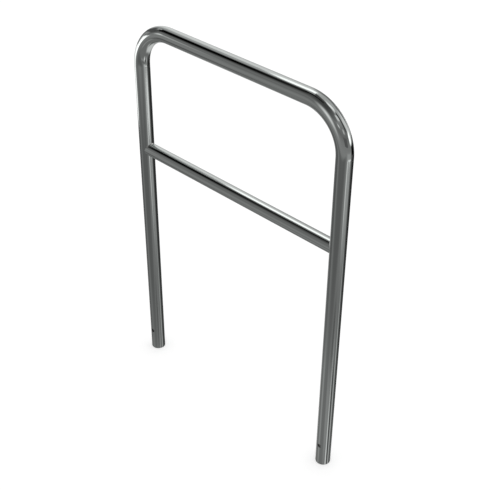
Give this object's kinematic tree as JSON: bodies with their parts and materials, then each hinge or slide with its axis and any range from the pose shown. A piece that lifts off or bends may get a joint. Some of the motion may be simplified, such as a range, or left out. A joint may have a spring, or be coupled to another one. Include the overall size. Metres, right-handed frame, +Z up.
{
  "type": "hoop bike rack",
  "caption": "Bike rack of polished stainless tube: an upside-down U with rounded corners and a smaller horizontal rail welded between its legs, whose feet are cast into the ground.",
  "frame": {"origin": "at ground level, midway between the legs' centre lines: the point that the rack is set out from, where its cast-in roots begin", "axes": "+X from the left leg to the right leg, +Y through the hoop, +Z up; the feet are at Z = -0.4 m, in the ground"},
  "size_m": [0.8482, 0.0482, 1.276],
  "materials": {
    "polished_stainless": "polished",
    "dressed_weld": "satin"
  },
  "bodies": {
    "root": {"hoop_tube": "polished_stainless", "mid_rail": "polished_stainless", "left_rail_weld": "dressed_weld", "right_rail_weld": "dressed_weld"}
  },
  "joints": []
}
